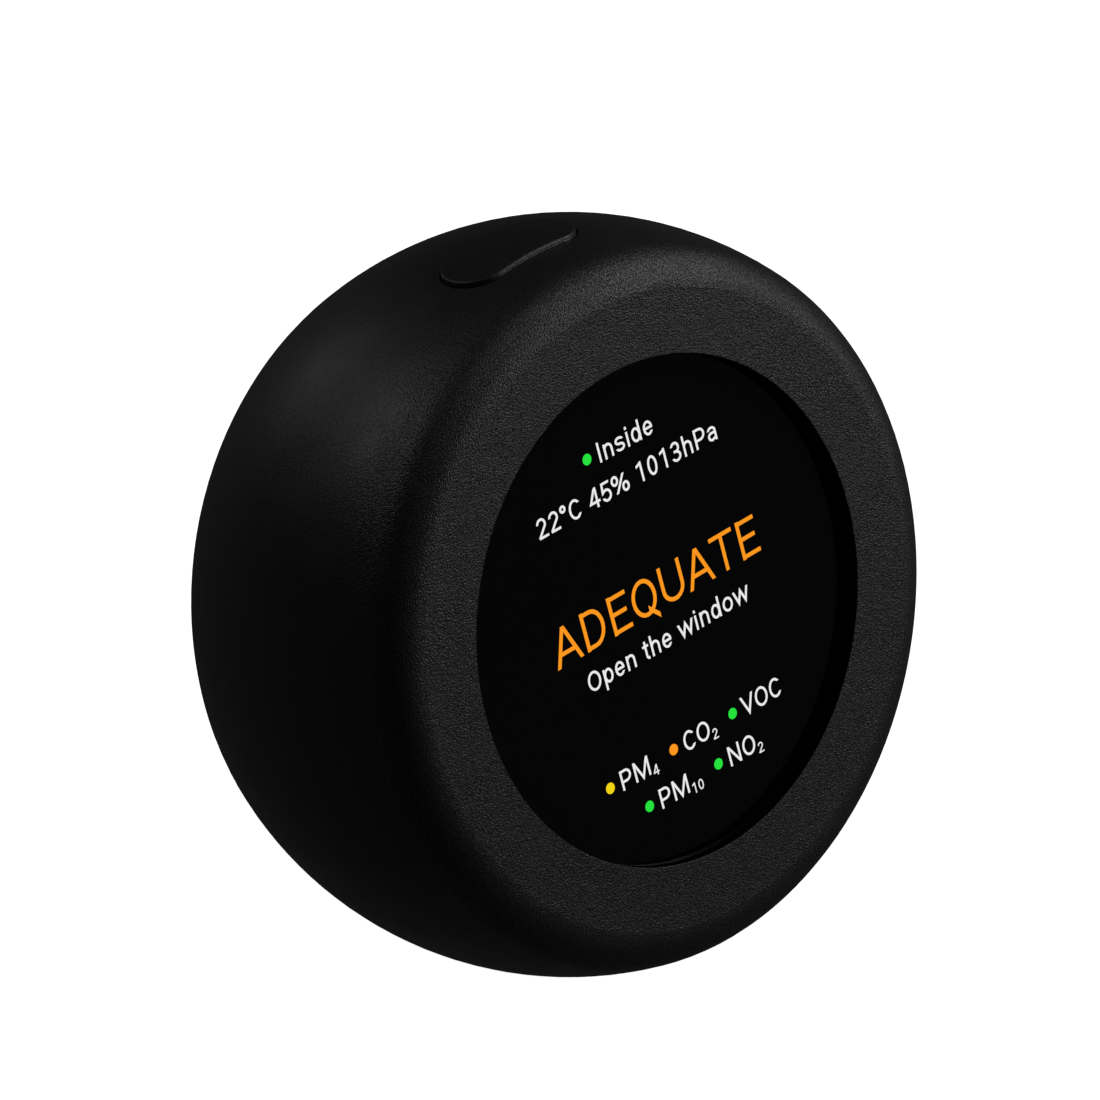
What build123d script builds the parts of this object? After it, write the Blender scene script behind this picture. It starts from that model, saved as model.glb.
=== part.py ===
from build123d import *

import os
from math import cos, radians, sin, sqrt, tan

# A round desk air quality monitor, in millimetres.
#
# World frame: +Z up, the display faces -Y and leans back, +X is the reader's right, and the origin is
# the centre of the bounding box's underside, where the rubber foot meets the desk.
# Device frame: x is the reader's right, y runs up the display, and depth is measured from the front
# plane straight into the body.

# ---------------------------------------------------------------- driving dimensions

# Body: a sphere cut off by a front and a back plane, with a rounded edge at each.
SPHERE_RADIUS = 40.0
SPHERE_DEPTH = 15.9  # the sphere's centre, behind the front plane
BODY_DEPTH = 40.0
FRONT_EDGE_RADIUS = 4.7
BACK_EDGE_RADIUS = 10.0
LEAN = 20.0  # degrees that the display leans back
WALL = 2.2

# Base: a flat under the sphere's centre with a glued rubber foot.
BASE_DROP = 37.5  # from the sphere's centre down to the flat
FLOOR_THICKNESS = 2.7
FOOT_RADIUS = 11.0
FOOT_SHIFT = -1.8  # the foot's centre, from under the sphere's centre, towards the reader when negative
FOOT_THICKNESS = 1.6
FOOT_PROUD = 0.6
FOOT_EDGE = 0.3
GLUE_GAP = 0.2

# Display stack, from the front plane inwards.
OPENING_RADIUS = 26.6
OPENING_EDGE = 0.12
GLASS_DEPTH = 1.6
GLASS_THICKNESS = 1.0
GLASS_RADIUS = 29.2
GLASS_EDGE = 0.2
GLASS_CLEARANCE = 0.3
ADHESIVE_THICKNESS = 0.1
ADHESIVE_INNER_RADIUS = 26.65
LCD_RADIUS = 28.1
LCD_THICKNESS = 1.3
LCD_TAB_WIDTH = 24.0
LCD_TAB_REACH = 31.2  # how far down the driver tab of the panel goes from its centre
TRAY_THICKNESS = 1.4
TRAY_LIP = 0.5
CUSHION_THICKNESS = 0.6
CUSHION_OUTER_RADIUS = 27.5
CUSHION_INNER_RADIUS = 22.0
RETAINER_THICKNESS = 1.2
RETAINER_OUTER_RADIUS = 34.0
RETAINER_INNER_RADIUS = 20.0
RETAINER_SCREW_RING = 32.3
RETAINER_NOTCH_WIDTH = 22.0
RETAINER_NOTCH_REACH = 30.4
FRONT_BOSS_RADIUS = 2.3
FLEX_WIDTH = 12.0
FLEX_THICKNESS = 0.2
FLEX_FIRST_RADIUS = 1.6
FLEX_TURN_RADIUS = 2.4
FLEX_TURN_Y = -33.0
FLEX_END_Y = -27.2
FLEX_RISE = 0.9  # from the main board's back to the flex that plugs in there

# Screws: one M2 size everywhere.
SCREW_RADIUS = 0.95
SCREW_HOLE_RADIUS = 1.0  # threaded plastic or brass, drawn as a plain bore
CLEARANCE_HOLE_RADIUS = 1.2
SCREW_HEAD_RADIUS = 1.9
SCREW_HEAD_HEIGHT = 1.2
DRIVE_RADIUS = 0.75
DRIVE_DEPTH = 0.7
HEAD_EDGE = 0.25

# Main board.
STANDOFF_HEIGHT = 1.3
STANDOFF_RADIUS = 2.2
STANDOFF_RING = 26.0
BOARD_RADIUS = 29.5
BOARD_THICKNESS = 1.2
BOARD_SCREW_LENGTH = 3.4
RADIO_X = -9.0
RADIO_BOARD_Y = -2.0
RADIO_BOARD_WIDTH = 18.0
RADIO_BOARD_HEIGHT = 25.5
RADIO_BOARD_THICKNESS = 0.8
RADIO_CAN_Y = -5.0
RADIO_CAN_WIDTH = 15.8
RADIO_CAN_HEIGHT = 17.6
RADIO_CAN_THICKNESS = 2.3
CAN_CORNER = 0.6
CHIPS = (  # centre x and y, width, height, thickness
    (8.0, 6.0, 7.0, 7.0, 0.9),
    (16.0, 0.0, 4.0, 5.0, 1.1),
    (12.0, -8.0, 5.0, 6.0, 1.6),
    (18.5, -8.5, 2.2, 3.2, 1.0),
    (21.0, 4.0, 1.6, 3.2, 0.8),
    (4.5, -6.0, 2.4, 1.6, 0.7),
    (4.5, -10.0, 2.4, 1.6, 0.7),
    (-12.0, 14.0, 3.0, 3.0, 0.9),
    (-6.0, 16.0, 2.0, 1.2, 0.6),
)
PRESSURE_SENSOR_CENTRE = (9.0, 15.5)
PRESSURE_SENSOR_SIZE = 2.5
PRESSURE_SENSOR_HEIGHT = 0.95
PRESSURE_PORT_RADIUS = 0.3
FLEX_CONNECTOR_WIDTH = 15.0
FLEX_CONNECTOR_LENGTH = 4.4
FLEX_CONNECTOR_HEIGHT = 1.8
SENSOR_HEADER = (-10.0, 22.5)  # centres of the two lead headers
POWER_HEADER = (11.5, -20.5)

# Button: a raised stadium that slides up the display's y direction.
BUTTON_LENGTH = 16.4
BUTTON_WIDTH = 7.6
BUTTON_DEPTH = 11.0  # its centre line, behind the front plane
BUTTON_PROUD = 0.5
BUTTON_GAP = 0.2
BUTTON_EDGE = 0.25
BUTTON_FLANGE = 1.4  # how far the hidden flange reaches past the cap
BUTTON_FLANGE_THICKNESS = 1.2
BUTTON_FLANGE_GAP = 0.3  # flange to the shell's inner face
BUTTON_STEM_RADIUS = 1.6
BUTTON_SLOT_FOOT = 33.4  # height of the plane that the shell's slot is cut from
SWITCH_WIDTH = 6.0
SWITCH_TOP = 29.1
SWITCH_LENGTH = 3.6
SWITCH_HEIGHT = 2.8
PLUNGER_RADIUS = 0.9
PLUNGER_TOP = 30.7
PLUNGER_FOOT = 27.6
PLUNGER_BORE_RADIUS = 0.96
PLUNGER_BORE_FOOT = 26.8

# Rear cover.
COVER_RADIUS = 31.0
COVER_GAP = 0.15
COVER_SEAT = 35.8  # depth of the ledge that the cover rests on
LEDGE_THICKNESS = 1.8
LEDGE_INNER_RADIUS = 30.1
COVER_POCKET_RADIUS = 24.0
MODULE_POCKET_MARGIN = 0.8
USB_POCKET_WIDTH = 20.0
USB_POCKET_HEIGHT = 4.9
COVER_SCREW_X = 13.5
COVER_SCREW_Y = 23.4
REAR_BOSS_RADIUS = 2.4
REAR_BOSS_LENGTH = 9.8
REAR_BOSS_RIB = 14.0
COUNTERBORE_RADIUS = 2.2
COUNTERBORE_DEPTH = 37.4
COVER_SCREW_LENGTH = 6.4
INSERT_RADIUS = 1.6
INSERT_LENGTH = 4.0
INSERT_GAP = 0.02
VENT_PITCH = 3.3
VENT_ROWS = 9
VENT_HEIGHT = 1.5
VENT_FIELD_RADIUS = 23.5
VENT_RIB = 3.2
VENT_EDGE = 0.25

# Sensor module and its cradle.
MODULE_LENGTH = 55.2
MODULE_WIDTH = 25.6
MODULE_FRONT = 14.2
MODULE_BACK = 35.7
MODULE_CORNER = 1.5
MODULE_WALL = 1.2
CRADLE_LENGTH = 48.0
CRADLE_WALL_LENGTH = 40.0
CRADLE_WALL = 1.2
CRADLE_GAP = 0.2
CRADLE_FLOOR = 1.0
CRADLE_WINDOW_LENGTH = 36.0
CRADLE_WINDOW_WIDTH = 18.0
EAR_WIDTH = 5.0
EAR_REACH = 20.4
EAR_THICKNESS = 1.4
CRADLE_SCREW_X = 15.0
CRADLE_SCREW_Y = 18.0
COVER_POST_RADIUS = 2.4
CRADLE_SCREW_LENGTH = 3.8

SENSOR_BOARD_GAP = 1.2
SENSOR_BOARD_LENGTH = 50.4
SENSOR_BOARD_WIDTH = 22.0
SENSOR_BOARD_THICKNESS = 1.0
CO2_SENSOR_CENTRE = (-19.8, 5.4)
CO2_SENSOR_SIZE = 10.1
CO2_SENSOR_HEIGHT = 6.5
CO2_PORT_RADIUS = 1.6
CO2_PORT_DEPTH = 0.8
GAS_CHIPS = (  # centre x and y, width, height, thickness
    (-8.0, 6.0, 2.5, 2.5, 0.9),
    (-3.5, 6.0, 1.5, 1.5, 0.6),
)
OPTICS_X = -12.0
OPTICS_Y = -5.4
OPTICS_LENGTH = 22.0
OPTICS_WIDTH = 9.4
OPTICS_HEIGHT = 9.0
AIR_BORE_RADIUS = 3.2
BEAM_RADIUS = 1.6
LASER_FLANGE_RADIUS = 2.8
LASER_FLANGE_THICKNESS = 1.1
LASER_STEM_RADIUS = 1.6
LASER_LENGTH = 2.5
SEAL_MARGIN = 1.2

# Fan inside the module.
FAN_X = 14.0
FAN_SIZE = 21.0
FAN_CORNER = 1.0
FAN_FRONT = 26.3
FAN_BACK = 34.3
FAN_BORE_RADIUS = 9.6
FAN_HUB_RADIUS = 4.2
FAN_HUB_WALL = 0.6
FAN_HUB_FRONT = 27.6
FAN_HUB_BACK = 33.2
FAN_HUB_CAP = 1.0
BLADE_COUNT = 7
BLADE_REACH = 9.0
BLADE_CHORD = 4.6
BLADE_THICKNESS = 0.55
BLADE_ROOT_PITCH = 38.0
BLADE_TIP_PITCH = 58.0
SPOKE_COUNT = 3
SPOKE_WIDTH = 1.4
SPOKE_THICKNESS = 0.9
MAGNET_THICKNESS = 0.4
STATOR_RADIUS = 2.8
STATOR_LENGTH = 2.6
STATOR_GAP = 0.2  # from the hub's open rim to the stator
BEARING_RADIUS = 1.6
BEARING_BORE_RADIUS = 0.8
BEARING_LENGTH = 4.2
SHAFT_RADIUS = 0.75

# Holes in the module's lid: a grille over the fan and slots over the inlet.
GRILLE_HOLE_RADIUS = 1.25
GRILLE_RINGS = ((3.2, 6), (6.9, 12))  # radius, number of holes
INLET_X = -13.0
INLET_LENGTH = 17.0
INLET_PITCH = 3.0
INLET_SLOTS = 5

# USB-C inlet on its own small board.
USB_BOARD_WIDTH = 18.0
USB_BOARD_TOP = -24.7
USB_BOARD_THICKNESS = 1.0
USB_BOARD_FRONT = 24.0
USB_BOARD_BACK = 37.4
USB_WIDTH = 8.94
USB_HEIGHT = 3.26
USB_FRONT = 32.2
USB_MOUTH = 39.55
USB_SHEET = 0.3
USB_MARGIN = 0.42
USB_TONGUE_WIDTH = 6.7
USB_TONGUE_THICKNESS = 0.7
USB_TONGUE_BACK = 38.8
USB_BLOCK_BACK = 34.4
USB_SCREW_X = 7.0
USB_SCREW_DEPTH = 27.5
USB_SCREW_LENGTH = 5.0
USB_HEADER_HEIGHT = 2.6

# Leads inside the housing.
LEAD_RADIUS = 1.0
LEAD_BEND_SHARE = 0.45
HEADER_LENGTH = 6.4
HEADER_WIDTH = 3.6
HEADER_HEIGHT = 3.2

# ---------------------------------------------------------------- the device frame in the world

FRONT_EDGE_RING = sqrt((SPHERE_RADIUS - FRONT_EDGE_RADIUS) ** 2 - (SPHERE_DEPTH - FRONT_EDGE_RADIUS) ** 2)
BACK_EDGE_DROP = BODY_DEPTH - BACK_EDGE_RADIUS - SPHERE_DEPTH
BACK_EDGE_RING = sqrt((SPHERE_RADIUS - BACK_EDGE_RADIUS) ** 2 - BACK_EDGE_DROP**2)
SIN_LEAN = sin(radians(LEAN))
COS_LEAN = cos(radians(LEAN))
FRONT_REACH = (
    FRONT_EDGE_RING * SIN_LEAN + (SPHERE_DEPTH - FRONT_EDGE_RADIUS) * COS_LEAN + FRONT_EDGE_RADIUS
)
BACK_REACH = BACK_EDGE_RING * SIN_LEAN + BACK_EDGE_DROP * COS_LEAN + BACK_EDGE_RADIUS

RIGHT = Vector(1, 0, 0)
OUT = Vector(0, -COS_LEAN, SIN_LEAN)  # out of the display
UP = Vector(0, SIN_LEAN, COS_LEAN)  # up the display
SPHERE_CENTRE = Vector(0, (FRONT_REACH - BACK_REACH) / 2, BASE_DROP + FOOT_PROUD)
FRONT_CENTRE = SPHERE_CENTRE + OUT * SPHERE_DEPTH

DISPLAY_AXIS = Axis(FRONT_CENTRE, OUT)
FAN_AXIS = Axis(FRONT_CENTRE + RIGHT * FAN_X, OUT)
SECTION = Plane(origin=FRONT_CENTRE, x_dir=RIGHT, z_dir=UP * -1)  # its y is OUT
FAN_SECTION = Plane(origin=FRONT_CENTRE + RIGHT * FAN_X, x_dir=RIGHT, z_dir=UP * -1)
SIDE = Plane(origin=FRONT_CENTRE, x_dir=OUT * -1, z_dir=RIGHT)  # its x is depth, its y is UP

RETAINER_FRONT = GLASS_DEPTH + GLASS_THICKNESS + LCD_THICKNESS + TRAY_THICKNESS + CUSHION_THICKNESS
RETAINER_BACK = RETAINER_FRONT + RETAINER_THICKNESS
BOARD_FRONT = RETAINER_BACK + STANDOFF_HEIGHT
BOARD_BACK = BOARD_FRONT + BOARD_THICKNESS
FLEX_START = GLASS_DEPTH + GLASS_THICKNESS + LCD_THICKNESS / 2
FLEX_RETURN = BOARD_BACK + FLEX_RISE
LEAD_START = BOARD_BACK + HEADER_HEIGHT
FLANGE_TOP = SPHERE_RADIUS - WALL - BUTTON_FLANGE_GAP
FLANGE_FOOT = FLANGE_TOP - BUTTON_FLANGE_THICKNESS
COVER_INSIDE = BODY_DEPTH - WALL
CRADLE_FRONT = MODULE_FRONT - CRADLE_FLOOR
CRADLE_WALL_INNER = MODULE_WIDTH / 2 + CRADLE_GAP
CRADLE_WALL_OUTER = CRADLE_WALL_INNER + CRADLE_WALL
LID_FRONT = MODULE_BACK - MODULE_WALL
SENSOR_BOARD_FRONT = MODULE_FRONT + MODULE_WALL + SENSOR_BOARD_GAP
SENSOR_BOARD_BACK = SENSOR_BOARD_FRONT + SENSOR_BOARD_THICKNESS
BEARING_FRONT = FAN_FRONT + SPOKE_THICKNESS
STATOR_FRONT = FAN_HUB_FRONT + STATOR_GAP
MAGNET_OUTER_RADIUS = FAN_HUB_RADIUS - FAN_HUB_WALL
BLADE_ROOT = FAN_HUB_RADIUS - FAN_HUB_WALL / 2
BLADE_MIDDLE = (FAN_HUB_FRONT + FAN_HUB_BACK) / 2
USB_CENTRE_Y = USB_BOARD_TOP + USB_HEIGHT / 2
FOOT_CENTRE_Y = SPHERE_CENTRE.Y + FOOT_SHIFT


def at_depth(depth):
    """The plane parallel to the display at a depth, facing the reader: x right, y up the display."""
    return Plane(origin=FRONT_CENTRE - OUT * depth, x_dir=RIGHT, z_dir=OUT)


def at_height(height):
    """The plane across the display's y direction: x right, y depth."""
    return Plane(origin=FRONT_CENTRE + UP * height, x_dir=RIGHT, z_dir=UP)


def spot(x, y, depth):
    """A point given in the device frame."""
    return FRONT_CENTRE + RIGHT * x + UP * y - OUT * depth


def finish(builder, name):
    """Labels a sub-part and writes its STEP file."""
    builder.part.label = name
    export_step(builder.part, f"parts/{name}.step")


def round_body(inset):
    """The outer body shrunk inwards by an inset: a sphere between two planes, with rounded edges."""
    with BuildPart() as body:
        with BuildSketch(SECTION) as half:
            with Locations((0, -SPHERE_DEPTH)):
                Circle(SPHERE_RADIUS - inset)
            with Locations((0, -inset)):
                Rectangle(
                    SPHERE_RADIUS,
                    BODY_DEPTH - 2 * inset,
                    align=(Align.MIN, Align.MAX),
                    mode=Mode.INTERSECT,
                )
            front_corners = half.vertices().group_by(Axis.Y)[-1]
            fillet(front_corners.sort_by(Axis.X)[-1], FRONT_EDGE_RADIUS - inset)
            back_corners = half.vertices().group_by(Axis.Y)[0]
            fillet(back_corners.sort_by(Axis.X)[-1], BACK_EDGE_RADIUS - inset)
        revolve(axis=DISPLAY_AXIS)
    return body.part


def bend_radii(points):
    """For each corner of a lead's route, the largest arc that its two runs leave room for."""
    radii = []
    for before, corner, after in zip(points, points[1:], points[2:]):
        arriving = corner - before
        leaving = after - corner
        half_turn = radians(arriving.get_angle(leaving)) / 2
        shorter = min(arriving.length, leaving.length)
        radii.append(LEAD_BEND_SHARE * shorter / tan(half_turn))
    return radii


def lead_along(points):
    """A round lead that follows straight runs joined by arcs."""
    with BuildPart() as tube:
        with BuildLine() as route:
            FilletPolyline(*points, radius=bend_radii(points))
        with BuildSketch(Plane(origin=points[0], z_dir=points[1] - points[0])):
            Circle(LEAD_RADIUS)
        sweep(path=route.wire())
    return tube.part


def screw_profile(length):
    """A pan head screw about the Z axis: its seat at the origin, its shank down, its head up."""
    with BuildPart() as screw:
        Cylinder(SCREW_RADIUS, length, align=(Align.CENTER, Align.CENTER, Align.MAX))
        Cylinder(
            SCREW_HEAD_RADIUS,
            SCREW_HEAD_HEIGHT,
            align=(Align.CENTER, Align.CENTER, Align.MIN),
        )
        top = screw.faces().sort_by(Axis.Z)[-1]
        fillet(top.edges(), HEAD_EDGE)
        with BuildSketch(Plane.XY.offset(SCREW_HEAD_HEIGHT)):
            RegularPolygon(DRIVE_RADIUS, 6)
        extrude(amount=-DRIVE_DEPTH, mode=Mode.SUBTRACT)
    return screw.part


os.makedirs("parts", exist_ok=True)

# ---------------------------------------------------------------- housing

# The hollow of the shell, with a flat floor over the base.
with BuildPart() as cavity:
    add(round_body(WALL))
    split(bisect_by=Plane.XY.offset(FOOT_PROUD + FLOOR_THICKNESS), keep=Keep.TOP)

# What stands inside the shell: bosses behind the front wall, the cover's ledge and its screw bosses.
with BuildPart() as shell_fittings:
    with BuildSketch(at_depth(WALL / 2)):
        with PolarLocations(RETAINER_SCREW_RING, 4, start_angle=45):
            Circle(FRONT_BOSS_RADIUS)
    extrude(amount=-(RETAINER_FRONT - WALL / 2))
    with BuildSketch(at_depth(COVER_SEAT - LEDGE_THICKNESS)):
        Circle(SPHERE_RADIUS)
        Circle(LEDGE_INNER_RADIUS, mode=Mode.SUBTRACT)
    extrude(amount=-LEDGE_THICKNESS)
    for side, rib_align in ((1, Align.MIN), (-1, Align.MAX)):
        with BuildSketch(at_depth(COVER_SEAT - REAR_BOSS_LENGTH)):
            with Locations((-COVER_SCREW_X, side * COVER_SCREW_Y), (COVER_SCREW_X, side * COVER_SCREW_Y)):
                Circle(REAR_BOSS_RADIUS)
                Rectangle(2 * REAR_BOSS_RADIUS, REAR_BOSS_RIB, align=(Align.CENTER, rib_align))
        extrude(amount=-REAR_BOSS_LENGTH)
    add(round_body(WALL / 2), mode=Mode.INTERSECT)

with BuildPart() as main_housing:
    add(round_body(0))
    add(cavity.part, mode=Mode.SUBTRACT)
    add(shell_fittings.part)
    # The display opening, and behind it the recess that the cover glass is glued into.
    with BuildSketch(at_depth(0)):
        Circle(OPENING_RADIUS)
    extrude(amount=-WALL, mode=Mode.SUBTRACT)
    with BuildSketch(at_depth(GLASS_DEPTH - ADHESIVE_THICKNESS)):
        Circle(GLASS_RADIUS + GLASS_CLEARANCE)
    extrude(amount=-WALL, mode=Mode.SUBTRACT)
    fillet(main_housing.edges().sort_by_distance(FRONT_CENTRE)[0], OPENING_EDGE)
    # The rear opening.
    with BuildSketch(at_depth(COVER_SEAT)):
        Circle(COVER_RADIUS + COVER_GAP)
    extrude(amount=-BODY_DEPTH, mode=Mode.SUBTRACT)
    # The base flat and the foot's recess.
    split(bisect_by=Plane.XY.offset(FOOT_PROUD), keep=Keep.TOP)
    with BuildSketch(Plane.XY.offset(FOOT_PROUD)):
        with Locations((0, FOOT_CENTRE_Y)):
            Circle(FOOT_RADIUS + GLUE_GAP)
    extrude(amount=FOOT_THICKNESS - FOOT_PROUD, mode=Mode.SUBTRACT)
    # The button's slot.
    with BuildSketch(at_height(BUTTON_SLOT_FOOT)):
        with Locations((0, BUTTON_DEPTH)):
            SlotOverall(BUTTON_LENGTH + 2 * BUTTON_GAP, BUTTON_WIDTH + 2 * BUTTON_GAP)
    extrude(amount=SPHERE_RADIUS, mode=Mode.SUBTRACT)
    # Screw holes in the front bosses, and the holes for the brass inserts at the back.
    with BuildSketch(at_depth(RETAINER_FRONT)):
        with PolarLocations(RETAINER_SCREW_RING, 4, start_angle=45):
            Circle(SCREW_HOLE_RADIUS)
    extrude(amount=RETAINER_FRONT - WALL, mode=Mode.SUBTRACT)
    with BuildSketch(at_depth(COVER_SEAT)):
        with GridLocations(2 * COVER_SCREW_X, 2 * COVER_SCREW_Y, 2, 2):
            Circle(INSERT_RADIUS + INSERT_GAP)
    extrude(amount=INSERT_LENGTH + INSERT_GAP, mode=Mode.SUBTRACT)
    with BuildSketch(at_depth(COVER_SEAT)):
        with GridLocations(2 * COVER_SCREW_X, 2 * COVER_SCREW_Y, 2, 2):
            Circle(CLEARANCE_HOLE_RADIUS)
    extrude(amount=COVER_SCREW_LENGTH, mode=Mode.SUBTRACT)
finish(main_housing, "main_housing")

with BuildPart() as rubber_foot:
    with BuildSketch(Plane.XY):
        with Locations((0, FOOT_CENTRE_Y)):
            Circle(FOOT_RADIUS)
    extrude(amount=FOOT_THICKNESS)
    fillet(rubber_foot.edges().group_by(Axis.Z)[0], FOOT_EDGE)
finish(rubber_foot, "rubber_foot")

# ---------------------------------------------------------------- rear cover

with BuildPart() as rear_cover:
    add(round_body(0))
    with BuildSketch(at_depth(COVER_SEAT)):
        Circle(COVER_RADIUS)
    extrude(amount=-BODY_DEPTH, mode=Mode.INTERSECT)
    # The pocket inside it clears the sensor module and the USB board.
    with BuildSketch(at_depth(COVER_SEAT)):
        Circle(COVER_POCKET_RADIUS)
        Rectangle(MODULE_LENGTH + 2 * MODULE_POCKET_MARGIN, MODULE_WIDTH + 2 * MODULE_POCKET_MARGIN)
        with Locations((0, USB_BOARD_TOP)):
            Rectangle(USB_POCKET_WIDTH, USB_POCKET_HEIGHT)
    extrude(amount=-(COVER_INSIDE - COVER_SEAT), mode=Mode.SUBTRACT)
    # Posts that the cradle is screwed to.
    with BuildSketch(at_depth(COVER_SEAT)):
        with GridLocations(2 * CRADLE_SCREW_X, 2 * CRADLE_SCREW_Y, 2, 2):
            Circle(COVER_POST_RADIUS)
    extrude(amount=-(COVER_INSIDE - COVER_SEAT + WALL / 2))
    with BuildSketch(at_depth(COVER_SEAT)):
        with GridLocations(2 * CRADLE_SCREW_X, 2 * CRADLE_SCREW_Y, 2, 2):
            Circle(SCREW_HOLE_RADIUS)
    extrude(amount=-(COVER_INSIDE - COVER_SEAT + WALL / 2), mode=Mode.SUBTRACT)
    # Air slots in rows that fill a circle, with a rib down the middle.
    with BuildSketch(at_depth(COVER_INSIDE)):
        for row in range(VENT_ROWS):
            slot_y = (row - (VENT_ROWS - 1) / 2) * VENT_PITCH
            half_row = sqrt(VENT_FIELD_RADIUS**2 - slot_y**2)
            slot_length = half_row - VENT_RIB / 2
            slot_x = (half_row + VENT_RIB / 2) / 2
            with Locations((-slot_x, slot_y), (slot_x, slot_y)):
                SlotOverall(slot_length, VENT_HEIGHT)
    extrude(amount=-WALL, mode=Mode.SUBTRACT)
    # The USB opening.
    with BuildSketch(at_depth(COVER_INSIDE)):
        with Locations((0, USB_CENTRE_Y)):
            SlotOverall(USB_WIDTH + 2 * USB_MARGIN, USB_HEIGHT + 2 * USB_MARGIN)
    extrude(amount=-WALL, mode=Mode.SUBTRACT)
    # Counterbored screw holes.
    with BuildSketch(at_depth(COVER_SEAT)):
        with GridLocations(2 * COVER_SCREW_X, 2 * COVER_SCREW_Y, 2, 2):
            Circle(CLEARANCE_HOLE_RADIUS)
    extrude(amount=-BODY_DEPTH, mode=Mode.SUBTRACT)
    with BuildSketch(at_depth(COUNTERBORE_DEPTH)):
        with GridLocations(2 * COVER_SCREW_X, 2 * COVER_SCREW_Y, 2, 2):
            Circle(COUNTERBORE_RADIUS)
    extrude(amount=-BODY_DEPTH, mode=Mode.SUBTRACT)
    back_face = rear_cover.faces().filter_by(GeomType.PLANE).sort_by(DISPLAY_AXIS)[0]
    fillet(back_face.inner_wires().edges(), VENT_EDGE)
finish(rear_cover, "rear_cover")

cover_screw = screw_profile(COVER_SCREW_LENGTH)
with BuildPart(Plane(origin=spot(0, 0, COUNTERBORE_DEPTH), x_dir=RIGHT, z_dir=OUT * -1)) as cover_screws:
    with GridLocations(2 * COVER_SCREW_X, 2 * COVER_SCREW_Y, 2, 2):
        add(cover_screw)
finish(cover_screws, "cover_screws")

with BuildPart() as cover_inserts:
    with BuildSketch(at_depth(COVER_SEAT)):
        with GridLocations(2 * COVER_SCREW_X, 2 * COVER_SCREW_Y, 2, 2):
            Circle(INSERT_RADIUS)
            Circle(SCREW_HOLE_RADIUS, mode=Mode.SUBTRACT)
    extrude(amount=INSERT_LENGTH)
finish(cover_inserts, "cover_inserts")

# ---------------------------------------------------------------- display stack

with BuildPart() as glass_adhesive:
    with BuildSketch(at_depth(GLASS_DEPTH - ADHESIVE_THICKNESS)):
        Circle(GLASS_RADIUS)
        Circle(ADHESIVE_INNER_RADIUS, mode=Mode.SUBTRACT)
    extrude(amount=-ADHESIVE_THICKNESS)
finish(glass_adhesive, "glass_adhesive")

with BuildPart() as cover_glass:
    with BuildSketch(at_depth(GLASS_DEPTH)):
        Circle(GLASS_RADIUS)
    extrude(amount=-GLASS_THICKNESS)
    chamfer(cover_glass.edges().filter_by(GeomType.CIRCLE), GLASS_EDGE)
finish(cover_glass, "cover_glass")

with BuildPart() as lcd_panel:
    with BuildSketch(at_depth(GLASS_DEPTH + GLASS_THICKNESS)):
        Circle(LCD_RADIUS)
        Rectangle(LCD_TAB_WIDTH, LCD_TAB_REACH, align=(Align.CENTER, Align.MAX))
    extrude(amount=-LCD_THICKNESS)
finish(lcd_panel, "lcd_panel")

with BuildPart() as backlight_tray:
    with BuildSketch(at_depth(GLASS_DEPTH + GLASS_THICKNESS + LCD_THICKNESS)):
        Circle(LCD_RADIUS)
    extrude(amount=-TRAY_THICKNESS)
    tray_rim = backlight_tray.edges().group_by(DISPLAY_AXIS)[0]
    fillet(tray_rim, TRAY_LIP)
finish(backlight_tray, "backlight_tray")

with BuildPart() as retainer_cushion:
    with BuildSketch(at_depth(RETAINER_FRONT - CUSHION_THICKNESS)):
        Circle(CUSHION_OUTER_RADIUS)
        Circle(CUSHION_INNER_RADIUS, mode=Mode.SUBTRACT)
    extrude(amount=-CUSHION_THICKNESS)
finish(retainer_cushion, "retainer_cushion")

with BuildPart() as display_retainer:
    with BuildSketch(at_depth(RETAINER_FRONT)):
        Circle(RETAINER_OUTER_RADIUS)
        Circle(RETAINER_INNER_RADIUS, mode=Mode.SUBTRACT)
        for side, notch_align in ((1, Align.MIN), (-1, Align.MAX)):
            with Locations((0, side * RETAINER_NOTCH_REACH)):
                Rectangle(
                    RETAINER_NOTCH_WIDTH,
                    RETAINER_OUTER_RADIUS,
                    align=(Align.CENTER, notch_align),
                    mode=Mode.SUBTRACT,
                )
    extrude(amount=-RETAINER_THICKNESS)
    with BuildSketch(at_depth(RETAINER_BACK)):
        with PolarLocations(STANDOFF_RING, 4, start_angle=45):
            Circle(STANDOFF_RADIUS)
    extrude(amount=-STANDOFF_HEIGHT)
    with BuildSketch(at_depth(RETAINER_FRONT)):
        with PolarLocations(RETAINER_SCREW_RING, 4, start_angle=45):
            Circle(CLEARANCE_HOLE_RADIUS)
        with PolarLocations(STANDOFF_RING, 4, start_angle=45):
            Circle(SCREW_HOLE_RADIUS)
    extrude(amount=-(RETAINER_THICKNESS + STANDOFF_HEIGHT), mode=Mode.SUBTRACT)
finish(display_retainer, "display_retainer")

retainer_screw = screw_profile(RETAINER_BACK - WALL - HEAD_EDGE)
with BuildPart(Plane(origin=spot(0, 0, RETAINER_BACK), x_dir=RIGHT, z_dir=OUT * -1)) as retainer_screws:
    with PolarLocations(RETAINER_SCREW_RING, 4, start_angle=45):
        add(retainer_screw)
finish(retainer_screws, "retainer_screws")

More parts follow.
